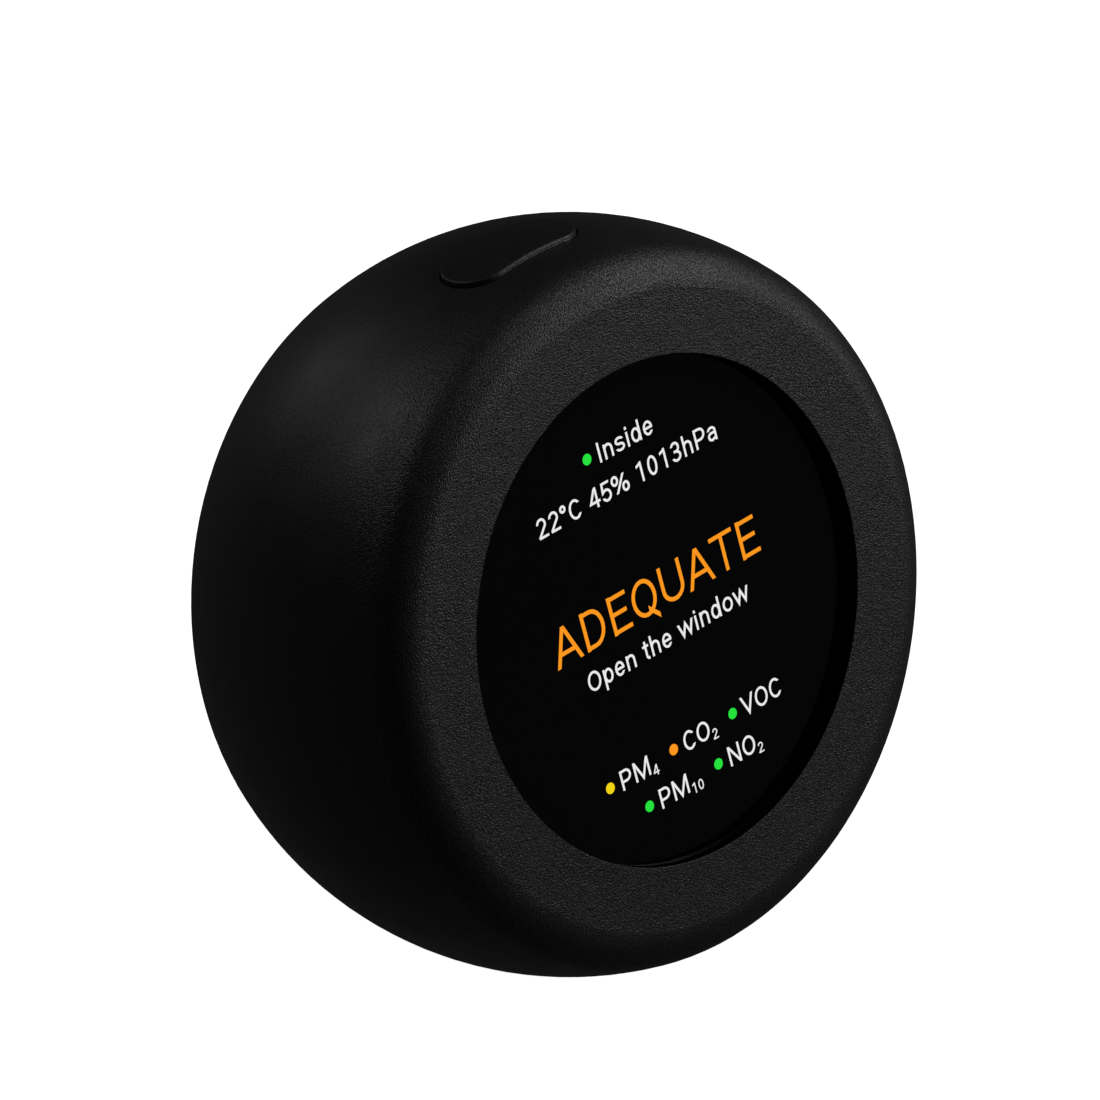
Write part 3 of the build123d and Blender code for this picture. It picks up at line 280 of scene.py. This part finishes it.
PATCH_SCALE = 60.0  # cycles a metre of the slow change in colour
SMEAR_SCALE = 240.0  # and of the change in roughness
SHELL_DARK = (0.0175, 0.0175, 0.018)
SHELL_LIGHT = (0.0215, 0.0215, 0.022)
SHELL_ROUGHNESS = (0.39, 0.47)
SHELL_GRAIN = 0.16 * MM
SHELL_GRAIN_DEPTH = 0.055 * MM
SHELL_GLOSS = 0.52  # the middle of the grain's specular level
SHELL_GLINT = 0.36  # how far the pits and the peaks are from it
SHELL_FADE = 0.4  # what is left of the grain on the sides and back
SHELL_FADE_START = 3.0 * MM  # depth behind the front plane where the grain starts to get weaker
SHELL_FADE_END = 9.0 * MM
WALL_PAINTED_SHADE = (0.003, 0.003, 0.003)  # painted shade on the step down to the glass: its colour goes near black and its specular to nothing
WALL_SHADE_BLEND = 0.1 * MM
WALL_SHADE_DEPTH = 1.2 * MM


# A mask for the painted shade in the recess around the glass.
def outside_painted_wall_shade(tree, coordinates, outward):
    """0 on the wall around the glass, where shade is painted, 1 on the rest of the shell."""
    front = FRONT_CENTRE.dot(OUT)
    offset = vector_maths(tree, "SUBTRACT", "Vector", coordinates, FRONT_CENTRE)
    across = vector_maths(tree, "CROSS_PRODUCT", "Vector", offset, OUT)
    radius = vector_maths(tree, "LENGTH", "Value", across)
    outside = spread(tree, radius, 0.0, 1.0, OPENING_RADIUS, OPENING_RADIUS + WALL_SHADE_BLEND)
    behind = spread(tree, outward, 1.0, 0.0, front - 2 * WALL_SHADE_DEPTH, front - WALL_SHADE_DEPTH)
    return maths(tree, "MAXIMUM", outside, behind)


def shell_plastic():
    """Black plastic from a spark-eroded mould, with a stronger grain on the front than on the sides, and
    painted shade on the wall around the glass.
    """
    material, tree, shader, coordinates = new_material("shell_plastic_grain")
    patches = noise(tree, coordinates, PATCH_SCALE)
    pits = noise(tree, coordinates, 1.0 / SHELL_GRAIN, 0.0)
    scuffs = noise(tree, coordinates, SMEAR_SCALE, 6.0)
    outward = vector_maths(tree, "DOT_PRODUCT", "Value", coordinates, OUT)
    away = outside_painted_wall_shade(tree, coordinates, outward)
    # painted shade: the wall around the glass is tinted near black
    colour = tint(tree, away, WALL_PAINTED_SHADE, tint(tree, patches, SHELL_DARK, SHELL_LIGHT))
    tree.links.new(colour, shader.inputs["Base Color"])
    tree.links.new(spread(tree, scuffs, *SHELL_ROUGHNESS), shader.inputs["Roughness"])
    front = FRONT_CENTRE.dot(OUT)
    fade = spread(tree, outward, SHELL_FADE, 1.0, front - SHELL_FADE_END, front - SHELL_FADE_START)
    relief = bump(tree, shader, pits, SHELL_GRAIN_DEPTH)
    tree.links.new(fade, relief.inputs["Strength"])
    glint = maths(tree, "MULTIPLY_ADD", spread(tree, pits, -SHELL_GLINT, SHELL_GLINT), fade, SHELL_GLOSS)
    # painted shade: the wall around the glass loses its specular
    tree.links.new(maths(tree, "MULTIPLY", glint, away), shader.inputs["Specular IOR Level"])
    return material


HAZE_SCALE = 90.0
HAZE_ROUGHNESS = (0.02, 0.06)
PIXEL_PITCH = 0.11 * MM
PIXEL_DIMMEST = 0.93
WEAVE_SCALE = 2600.0
TRACK_SCALE = 120.0
TRACK_GAP = 0.03
TRACK_DEPTH = 0.02 * MM
TURN_SCALE = 1200.0
TURN_WANDER = 1.5
TURN_DEPTH = 0.08 * MM
CELL_SCALE = 2200.0
CELL_DEPTH = 0.15 * MM


def black_glass():
    """Gloss black cover glass with a trace of handling haze."""
    material, tree, shader, coordinates = new_material("gloss_black_glass")
    haze = noise(tree, coordinates, HAZE_SCALE, 6.0)
    colour = tint(tree, haze, (0.0012, 0.0012, 0.0013), (0.0018, 0.0018, 0.002))
    tree.links.new(colour, shader.inputs["Base Color"])
    tree.links.new(spread(tree, haze, *HAZE_ROUGHNESS), shader.inputs["Roughness"])
    return material


def lit_pixels(name, colour):
    """Display pixels that glow in one colour, a little unevenly."""
    material, tree, shader, coordinates = new_material(name)
    shader.inputs["Base Color"].default_value = (0, 0, 0, 1)
    shader.inputs["Specular IOR Level"].default_value = 0.0
    shader.inputs["Emission Strength"].default_value = 1.0
    cells = noise(tree, coordinates, 1.0 / PIXEL_PITCH, 1.0)
    faded = [PIXEL_DIMMEST * part for part in colour]
    tree.links.new(tint(tree, cells, faded, colour), shader.inputs["Emission Color"])
    return material


def board():
    """Green solder mask with slightly raised copper tracks under it."""
    material, tree, shader, coordinates = new_material("board_mask")
    weave = noise(tree, coordinates, WEAVE_SCALE, 2.0)
    tracks = tree.nodes.new("ShaderNodeTexBrick")
    tracks.inputs["Scale"].default_value = TRACK_SCALE
    tracks.inputs["Mortar Size"].default_value = TRACK_GAP
    tracks.inputs["Color1"].default_value = (0.008, 0.09, 0.045, 1)
    tracks.inputs["Color2"].default_value = (0.006, 0.075, 0.035, 1)
    tracks.inputs["Mortar"].default_value = (0.02, 0.16, 0.08, 1)
    tree.links.new(coordinates, tracks.inputs["Vector"])
    tree.links.new(tracks.outputs["Color"], shader.inputs["Base Color"])
    tree.links.new(spread(tree, weave, 0.25, 0.4), shader.inputs["Roughness"])
    bump(tree, shader, tracks.outputs["Fac"], TRACK_DEPTH)
    return material


def wound_copper():
    """Enamelled copper wire laid turn by turn."""
    material, tree, shader, coordinates = new_material("wound_copper")
    shader.inputs["Metallic"].default_value = 1.0
    turns = tree.nodes.new("ShaderNodeTexWave")
    turns.inputs["Scale"].default_value = TURN_SCALE
    turns.inputs["Distortion"].default_value = TURN_WANDER
    tree.links.new(coordinates, turns.inputs["Vector"])
    colour = tint(tree, turns.outputs["Fac"], (0.35, 0.12, 0.05), (0.8, 0.36, 0.18))
    tree.links.new(colour, shader.inputs["Base Color"])
    tree.links.new(spread(tree, turns.outputs["Fac"], 0.5, 0.3), shader.inputs["Roughness"])
    bump(tree, shader, turns.outputs["Fac"], TURN_DEPTH)
    return material


def cell_foam():
    """Dark closed cell foam."""
    material, tree, shader, coordinates = new_material("cell_foam")
    cells = tree.nodes.new("ShaderNodeTexVoronoi")
    cells.inputs["Scale"].default_value = CELL_SCALE
    tree.links.new(coordinates, cells.inputs["Vector"])
    colour = tint(tree, cells.outputs["Distance"], (0.012, 0.012, 0.012), (0.04, 0.04, 0.042))
    tree.links.new(colour, shader.inputs["Base Color"])
    tree.links.new(spread(tree, cells.outputs["Distance"], 0.8, 0.95), shader.inputs["Roughness"])
    bump(tree, shader, cells.outputs["Distance"], CELL_DEPTH)
    return material


BRUSHED = (1, 1, 14)
SHELL = shell_plastic()
FINISHES = {  # the record's material slot: its material
    "shell_plastic": SHELL,
    "button_plastic": SHELL,
    "black_glass": black_glass(),
    "adhesive": surface("adhesive_film", (0.012,) * 3, (0.018,) * 3, 0.5, 0.5 * MM, 0.01 * MM),
    "lcd_cell": surface("lcd_cell", (0.02, 0.02, 0.03), (0.03, 0.03, 0.045), 0.15, 1.0 * MM, 0.002 * MM),
    "tray_metal": surface(
        "pressed_aluminium", (0.5,) * 3, (0.62,) * 3, 0.35, 0.5 * MM, 0.01 * MM, 1.0, BRUSHED
    ),
    "foam": cell_foam(),
    "frame_plastic": surface(
        "glass_filled_nylon", (0.04,) * 3, (0.06,) * 3, 0.55, 0.3 * MM, 0.03 * MM, 0.0, (1, 1, 4)
    ),
    "screw_steel": surface("black_zinc_steel", (0.06,) * 3, (0.12,) * 3, 0.35, 0.2 * MM, 0.01 * MM, 1.0),
    "insert_brass": surface(
        "turned_brass", (0.55, 0.38, 0.16), (0.75, 0.56, 0.28), 0.3, 0.2 * MM, 0.02 * MM, 1.0, BRUSHED
    ),
    "flex_film": surface(
        "polyimide_film", (0.42, 0.2, 0.04), (0.6, 0.32, 0.08), 0.3, 0.4 * MM, 0.01 * MM, 0.0, (9, 1, 1)
    ),
    "board_green": board(),
    "shield_can": surface(
        "tinned_steel", (0.5, 0.5, 0.48), (0.66, 0.66, 0.63), 0.3, 0.6 * MM, 0.01 * MM, 1.0, BRUSHED
    ),
    "chip_black": surface("moulded_epoxy", (0.02,) * 3, (0.035,) * 3, 0.55, 0.12 * MM, 0.01 * MM),
    "connector_ivory": surface(
        "ivory_nylon", (0.62, 0.58, 0.48), (0.74, 0.7, 0.6), 0.45, 0.4 * MM, 0.01 * MM
    ),
    "module_plastic": surface("module_case", (0.05,) * 3, (0.07,) * 3, 0.5, 0.25 * MM, 0.02 * MM),
    "fan_plastic": surface("fan_plastic", (0.03,) * 3, (0.045,) * 3, 0.45, 0.3 * MM, 0.01 * MM),
    "copper": wound_copper(),
    "magnet": surface("ferrite", (0.04,) * 3, (0.07,) * 3, 0.6, 0.15 * MM, 0.03 * MM),
    "shaft_steel": surface(
        "ground_steel", (0.55,) * 3, (0.7,) * 3, 0.2, 0.2 * MM, 0.004 * MM, 1.0, BRUSHED
    ),
    "usb_steel": surface(
        "drawn_steel", (0.5, 0.5, 0.51), (0.68, 0.68, 0.69), 0.25, 0.3 * MM, 0.006 * MM, 1.0, (1, 6, 1)
    ),
    "rubber": surface("soft_rubber", (0.014,) * 3, (0.024,) * 3, 0.75, 0.2 * MM, 0.02 * MM),
    "lead_black": surface("lead_sleeve", (0.015,) * 3, (0.025,) * 3, 0.4, 0.5 * MM, 0.02 * MM),
}


def dress_nodes():
    """Gives every CAD node the material of its slot."""
    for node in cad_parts.values():
        for slot in node.material_slots:
            slot.material = FINISHES[slot.material.name]


# ---------------------------------------------------------------- pieces


def slab(name, faces, place, thickness, material, body):
    """A thin raised piece: flat faces given as 2-D outlines, laid on a plane and thickened off it."""
    mesh = bmesh.new()
    for outline in faces:
        corners = [mesh.verts.new((x, y, 0)) for x, y in outline]
        mesh.faces.new(corners)
    bmesh.ops.remove_doubles(mesh, verts=mesh.verts, dist=thickness / 100)
    raised = bmesh.ops.extrude_face_region(mesh, geom=mesh.faces[:])
    lifted = [item for item in raised["geom"] if isinstance(item, bmesh.types.BMVert)]
    bmesh.ops.translate(mesh, verts=lifted, vec=(0, 0, thickness))
    bmesh.ops.recalc_face_normals(mesh, faces=mesh.faces)
    data = bpy.data.meshes.new(name)
    mesh.transform(place)
    mesh.to_mesh(data)
    mesh.free()
    data.materials.append(material)
    piece = bpy.data.objects.new(name, data)
    SCENE.objects.link(piece)
    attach(piece, body)


# ---------------------------------------------------------------- display text

# Letters are pen strokes in units of the capital height: (advance, strokes). A stroke is a list of points,
# and one whose ends meet is a loop.
STROKE = 0.12  # stroke widths in capital heights
TALL_STROKE = 0.105
TALL = 0.15  # a row with higher capitals than this has the thinner stroke
ARC_STEP = 15  # degrees


def arc(x, y, across, up, start, end):
    """Points on an ellipse's arc, from a start to an end angle in degrees."""
    steps = max(2, ceil(abs(end - start) / ARC_STEP))
    angles = [radians(start + (end - start) * i / steps) for i in range(steps + 1)]
    return [(x + across * cos(angle), y + up * sin(angle)) for angle in angles]


def line(x1, y1, x2, y2):
    """A straight stroke."""
    return [(x1, y1), (x2, y2)]


ARCH = arc(0.385, 0.455, 0.22, 0.22, 180, 0) + [(0.605, 0)]
OVAL = arc(0.483, 0.5, 0.35, 0.433, 0, 360)
LETTERS = {
    " ": (0.42, []),
    "A": (
        0.917,
        [
            line(0.07, 0, 0.4585, 0.97),
            line(0.847, 0, 0.4585, 0.97),
            line(0.21, 0.315, 0.707, 0.315),
        ],
    ),
    "C": (0.915, [arc(0.475, 0.5, 0.325, 0.433, 38, 322)]),
    "D": (
        0.922,
        [
            line(0.18, 0, 0.18, 1),
            [(0.18, 0.933), *arc(0.43, 0.5, 0.35, 0.433, 90, -90), (0.18, 0.067)],
        ],
    ),
    "E": (
        0.8,
        [
            line(0.18, 0, 0.18, 1),
            line(0.18, 0.933, 0.745, 0.933),
            line(0.18, 0.515, 0.68, 0.515),
            line(0.18, 0.067, 0.75, 0.067),
        ],
    ),
    "I": (0.383, [line(0.19, 0, 0.19, 1)]),
    "M": (
        1.228,
        [
            line(0.18, 0, 0.18, 1),
            line(1.05, 0, 1.05, 1),
            [(0.2, 0.97), (0.615, 0.07), (1.03, 0.97)],
        ],
    ),
    "N": (1.003, [line(0.18, 0, 0.18, 1), line(0.82, 0, 0.82, 1), line(0.2, 0.97, 0.8, 0.03)]),
    "O": (0.967, [OVAL]),
    "P": (
        0.887,
        [
            line(0.18, 0, 0.18, 1),
            [(0.18, 0.933), *arc(0.48, 0.675, 0.27, 0.258, 90, -90), (0.18, 0.417)],
        ],
    ),
    "Q": (0.967, [OVAL, line(0.55, 0.2, 0.86, -0.1)]),
    "T": (0.839, [line(0.03, 0.933, 0.81, 0.933), line(0.42, 0, 0.42, 0.933)]),
    "U": (0.95, [[(0.155, 1), *arc(0.475, 0.37, 0.32, 0.303, 180, 360), (0.795, 1)]]),
    "V": (0.895, [[(0.07, 1), (0.4475, 0.1), (0.825, 1)]]),
    "a": (
        0.765,
        [
            arc(0.365, 0.5, 0.215, 0.175, 165, 0) + [(0.58, 0)],
            [(0.58, 0.41), *arc(0.335, 0.24, 0.2, 0.17, 90, 270), (0.58, 0.16)],
        ],
    ),
    "d": (0.793, [arc(0.37, 0.37, 0.225, 0.305, 0, 360), line(0.625, 0, 0.625, 1.04)]),
    "e": (0.745, [arc(0.375, 0.37, 0.235, 0.305, 0, 325), line(0.14, 0.375, 0.66, 0.375)]),
    "h": (0.774, [line(0.165, 0, 0.165, 1.04), ARCH]),
    "i": (0.341, [line(0.17, 0, 0.17, 0.742), line(0.17, 0.86, 0.17, 1)]),
    "n": (0.776, [line(0.165, 0, 0.165, 0.742), ARCH]),
    "o": (0.802, [arc(0.4, 0.37, 0.265, 0.305, 0, 360)]),
    "p": (0.789, [line(0.165, -0.29, 0.165, 0.742), arc(0.42, 0.37, 0.225, 0.305, 0, 360)]),
    "s": (
        0.726,
        [arc(0.36, 0.53, 0.22, 0.145, 20, 270) + arc(0.36, 0.23, 0.235, 0.155, 90, -160)[1:]],
    ),
    "t": (
        0.459,
        [
            [(0.225, 0.93), *arc(0.345, 0.2, 0.12, 0.135, 180, 290)],
            line(0.04, 0.68, 0.42, 0.68),
        ],
    ),
    "w": (1.056, [[(0.07, 0.742), (0.3, 0.1), (0.528, 0.66), (0.756, 0.1), (0.986, 0.742)]]),
    "0": (0.79, [arc(0.395, 0.5, 0.24, 0.433, 0, 360)]),
    "1": (0.79, [line(0.47, 0, 0.47, 1), line(0.47, 0.92, 0.17, 0.8)]),
    "2": (
        0.79,
        [
            arc(0.4, 0.69, 0.235, 0.243, 172, -25) + [(0.16, 0.1)],
            line(0.12, 0.067, 0.72, 0.067),
        ],
    ),
    "3": (
        0.79,
        [
            arc(0.385, 0.71, 0.22, 0.223, 162, -75),
            arc(0.385, 0.28, 0.245, 0.213, 80, -162),
            line(0.27, 0.51, 0.42, 0.51),
        ],
    ),
    "4": (0.79, [[(0.5, 0.96), (0.12, 0.29), (0.74, 0.29)], line(0.545, 0, 0.545, 1)]),
    "5": (
        0.79,
        [[(0.67, 0.933), (0.215, 0.933), (0.18, 0.49), *arc(0.395, 0.325, 0.25, 0.258, 130, -160)]],
    ),
    "%": (
        1.1,
        [
            arc(0.24, 0.74, 0.17, 0.2, 0, 360),
            arc(0.86, 0.26, 0.17, 0.2, 0, 360),
            line(0.84, 0.93, 0.26, 0.07),
        ],
    ),
    "°": (0.525, [arc(0.26, 0.82, 0.135, 0.135, 0, 360)]),
}
SUBSCRIPTS = dict(zip("₀₁₂₄", "0124"))
SUBSCRIPT_SCALE = 0.54
SUBSCRIPT_DROP = 0.2

# The screen's layout, in units of the opening's radius. Rows are centred, and a word is as wide as its
# letters.
TEXT_HEIGHT = 0.082
HEADLINE_HEIGHT = 0.16
ROW_PITCH = 0.157
TOP_ROW = 0.67
LOWER_ROW = -0.59
DOT_RADIUS = 0.0225
DOT_GAP = 0.05  # from a dot's centre to its word
ENTRY_GAP = 0.07  # from a word to the next dot
DOT_CORNERS = 24
ROWS = (  # baseline, capital height, text colour, and for each word its dot's colour and its text
    (TOP_ROW, TEXT_HEIGHT, "white", (("green", "Inside"),)),
    (TOP_ROW - ROW_PITCH, TEXT_HEIGHT, "white", ((None, "22°C 45% 1013hPa"),)),
    (0.0, HEADLINE_HEIGHT, "orange", ((None, "ADEQUATE"),)),
    (-ROW_PITCH, TEXT_HEIGHT, "white", ((None, "Open the window"),)),
    (LOWER_ROW, TEXT_HEIGHT, "white", (("yellow", "PM₄"), ("orange", "CO₂"), ("green", "VOC"))),
    (LOWER_ROW - ROW_PITCH, TEXT_HEIGHT, "white", (("green", "PM₁₀"), ("green", "NO₂"))),
)
PIXEL_HEIGHT = 0.02 * MM
COLOURS = {
    "white": (0.85, 0.85, 0.85),
    "orange": (1.0, 0.32, 0.014),
    "yellow": (0.89, 0.69, 0.008),
    "green": (0.02, 0.78, 0.05),
}
PIXELS = {name: lit_pixels(f"pixels_{name}", colour) for name, colour in COLOURS.items()}
ON_GLASS = Matrix.Translation(GLASS_FACE) @ Matrix((RIGHT, UP, OUT)).transposed().to_4x4()


def edge_offset(before, point, after, width):
    """From a point of a stroke to its left edge: mitred at a corner, cut level or upright at an end."""
    normals = []
    for start, end in ((before, point), (point, after)):
        if start is not None and end is not None:
            run, rise = end[0] - start[0], end[1] - start[1]
            length = hypot(run, rise)
            normals.append((-rise / length, run / length))
    (x, y) = normals[0]
    half = width / 2
    if len(normals) == 2:
        (x2, y2) = normals[1]
        share = half / (1 + x * x2 + y * y2)
        return ((x + x2) * share, (y + y2) * share)
    if abs(x) > abs(y):
        return (half / x, 0)
    return (0, half / y)


def ribbon(stroke, width):
    """The four-sided faces that give a stroke its width."""
    loop = hypot(stroke[0][0] - stroke[-1][0], stroke[0][1] - stroke[-1][1]) < width / 100
    count = len(stroke) - 1 if loop else len(stroke)
    edges = []
    for i in range(count):
        before = stroke[(i - 1) % count] if loop or i > 0 else None
        after = stroke[(i + 1) % count] if loop or i < count - 1 else None
        (x, y) = stroke[i]
        (dx, dy) = edge_offset(before, stroke[i], after, width)
        edges.append(((x + dx, y + dy), (x - dx, y - dy)))
    if loop:
        edges.append(edges[0])
    return [(*here, *reversed(there)) for here, there in zip(edges, edges[1:])]


def typeset(text, width):
    """A word's faces in capital heights from the start of its first letter, and each letter's place."""
    placed = []
    at = 0.0
    for character in text:
        if character in SUBSCRIPTS:
            advance, strokes = LETTERS[SUBSCRIPTS[character]]
            scale, drop = SUBSCRIPT_SCALE, -SUBSCRIPT_DROP
        else:
            advance, strokes = LETTERS[character]
            scale, drop = 1.0, 0.0
        outlines = [face for stroke in strokes for face in ribbon(stroke, width)]
        faces = [[(x * scale, y * scale + drop) for x, y in face] for face in outlines]
        placed.append((at, faces))
        at += advance * scale
    return placed, at


def add_pixels(name, faces, colour):
    """A lit shape on the glass, drawn in units of the opening's radius."""
    outlines = [[(x * OPENING_RADIUS, y * OPENING_RADIUS) for x, y in face] for face in faces]
    slab(name, outlines, ON_GLASS, PIXEL_HEIGHT, PIXELS[colour], "housing")


def add_word(number, letters, left, baseline, height, colour):
    """One word or line of the screen, from its left edge."""
    faces = []
    for start, letter in letters:
        for face in letter:
            faces.append([(left + (start + x) * height, baseline + y * height) for x, y in face])
    add_pixels(f"screen_text_{number}", faces, colour)


def add_dot(number, x, y, colour):
    """One round status mark on the screen."""
    turns = [2 * pi * i / DOT_CORNERS for i in range(DOT_CORNERS)]
    ring = [(x + DOT_RADIUS * cos(turn), y + DOT_RADIUS * sin(turn)) for turn in turns]
    add_pixels(f"screen_dot_{number}", [ring], colour)


def add_screen():
    """Every row of the screen, each centred as a whole with its dots and gaps."""
    words = 0
    dots = 0
    lead = DOT_RADIUS + DOT_GAP
    for baseline, height, colour, entries in ROWS:
        stroke = TALL_STROKE if height > TALL else STROKE
        row = [(dot, *typeset(text, stroke)) for dot, text in entries]
        total = ENTRY_GAP * (len(row) - 1)
        total += sum(natural * height + (lead if dot else 0) for dot, letters, natural in row)
        at = -total / 2
        for dot, letters, natural in row:
            if dot:
                dots += 1
                add_dot(dots, at + DOT_RADIUS, baseline + height / 2, dot)
                at += lead
            words += 1
            add_word(words, letters, at, baseline, height, colour)
            at += natural * height + ENTRY_GAP


# ---------------------------------------------------------------- USB contacts

CONTACTS = 12
CONTACT_PITCH = 0.5 * MM
CONTACT_WIDTH = 0.25 * MM
CONTACT_LENGTH = 3.4 * MM
CONTACT_HEIGHT = 0.03 * MM
CONTACT_END = 0.6 * MM  # from the tongue's tip to the contacts
TONGUE_THICKNESS = 0.7 * MM
TONGUE_BELOW_CENTRE = 23.07 * MM
TONGUE_DEPTH = 38.8 * MM
TONGUE_TIP = FRONT_CENTRE - UP * TONGUE_BELOW_CENTRE - OUT * TONGUE_DEPTH


def add_contacts():
    """A row of gold contacts on each face of the USB tongue."""
    strips = []
    for i in range(CONTACTS):
        x = (i - (CONTACTS - 1) / 2) * CONTACT_PITCH
        low, high = x - CONTACT_WIDTH / 2, x + CONTACT_WIDTH / 2
        near, far = CONTACT_END, CONTACT_END + CONTACT_LENGTH
        strips.append([(low, near), (high, near), (high, far), (low, far)])
    for name, side in (("upper", 1), ("lower", -1)):
        normal = UP * side
        turn = Matrix((OUT.cross(normal), OUT, normal)).transposed().to_4x4()
        place = Matrix.Translation(TONGUE_TIP + normal * TONGUE_THICKNESS / 2) @ turn
        gold = FINISHES["insert_brass"]
        slab(f"usb_contacts_{name}", strips, place, CONTACT_HEIGHT, gold, "housing")


# ---------------------------------------------------------------- build

add_camera()
add_stage()
for light in LIGHTS:
    add_light(*light)
dress_nodes()
add_screen()
add_contacts()
